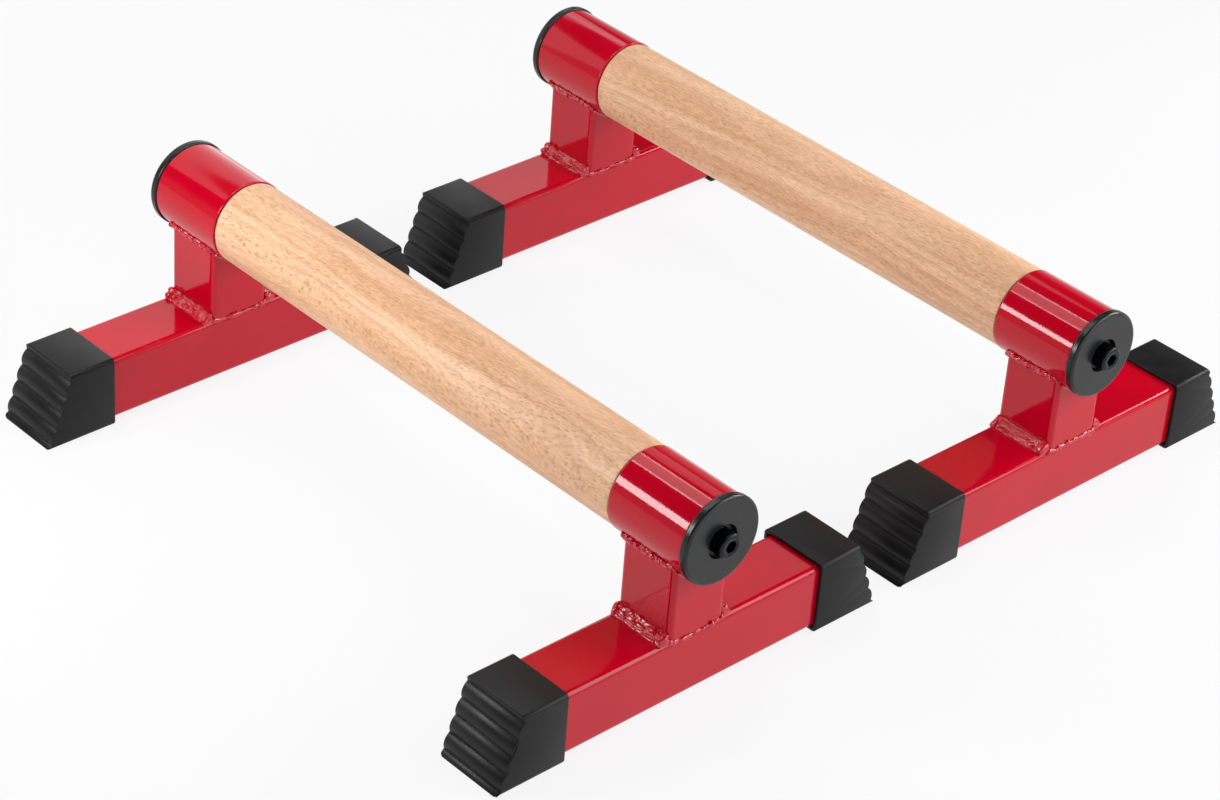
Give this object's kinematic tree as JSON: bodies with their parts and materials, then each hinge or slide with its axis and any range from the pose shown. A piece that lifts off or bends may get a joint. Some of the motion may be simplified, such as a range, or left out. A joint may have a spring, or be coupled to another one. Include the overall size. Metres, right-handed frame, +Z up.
{
  "type": "mini parallel bars",
  "caption": "Pair of low free-standing parallel bars: round wooden rails in steel collars on welded square-tube stands with rubber boots.",
  "frame": {"origin": "on the floor, midway between the two bars and their ends", "axes": "+X along the rails, +Y across them from the front bar to the back bar, +Z up"},
  "size_m": [0.4124, 0.5038, 0.1171],
  "materials": {
    "beech_rail": "fine-sanded beech, thin matt oil",
    "red_powder_coat": "gloss red powder coat on steel tube",
    "red_powder_coat_weld": "gloss red powder coat over rippled weld",
    "moulded_rubber": "matt moulded black rubber",
    "moulded_cap": "satin moulded dark grey plastic",
    "black_oxide_steel": "black oxide",
    "insert_steel": "yellow zinc plate"
  },
  "bodies": {
    "front_bar": {"front_rail": "beech_rail", "front_left_collar": "red_powder_coat", "front_left_post": "red_powder_coat", "front_left_base_tube": "red_powder_coat", "front_left_foot_weld": "red_powder_coat_weld", "front_left_saddle_weld": "red_powder_coat_weld", "front_left_end_cap": "moulded_cap", "front_left_cap_screw": "black_oxide_steel", "front_left_cap_washer": "black_oxide_steel", "front_left_rail_insert": "insert_steel", "front_left_near_boot": "moulded_rubber", "front_left_far_boot": "moulded_rubber", "front_right_collar": "red_powder_coat", "front_right_post": "red_powder_coat", "front_right_base_tube": "red_powder_coat", "front_right_foot_weld": "red_powder_coat_weld", "front_right_saddle_weld": "red_powder_coat_weld", "front_right_end_cap": "moulded_cap", "front_right_cap_screw": "black_oxide_steel", "front_right_cap_washer": "black_oxide_steel", "front_right_rail_insert": "insert_steel", "front_right_near_boot": "moulded_rubber", "front_right_far_boot": "moulded_rubber"},
    "back_bar": {"back_rail": "beech_rail", "back_left_collar": "red_powder_coat", "back_left_post": "red_powder_coat", "back_left_base_tube": "red_powder_coat", "back_left_foot_weld": "red_powder_coat_weld", "back_left_saddle_weld": "red_powder_coat_weld", "back_left_end_cap": "moulded_cap", "back_left_cap_screw": "black_oxide_steel", "back_left_cap_washer": "black_oxide_steel", "back_left_rail_insert": "insert_steel", "back_left_near_boot": "moulded_rubber", "back_left_far_boot": "moulded_rubber", "back_right_collar": "red_powder_coat", "back_right_post": "red_powder_coat", "back_right_base_tube": "red_powder_coat", "back_right_foot_weld": "red_powder_coat_weld", "back_right_saddle_weld": "red_powder_coat_weld", "back_right_end_cap": "moulded_cap", "back_right_cap_screw": "black_oxide_steel", "back_right_cap_washer": "black_oxide_steel", "back_right_rail_insert": "insert_steel", "back_right_near_boot": "moulded_rubber", "back_right_far_boot": "moulded_rubber"}
  },
  "joints": [
    {"name": "bar_spacing", "type": "slide", "parent": "front_bar", "child": "back_bar", "axis": [0, 1, 0], "range_m": [-0.015, 0.35]}
  ]
}
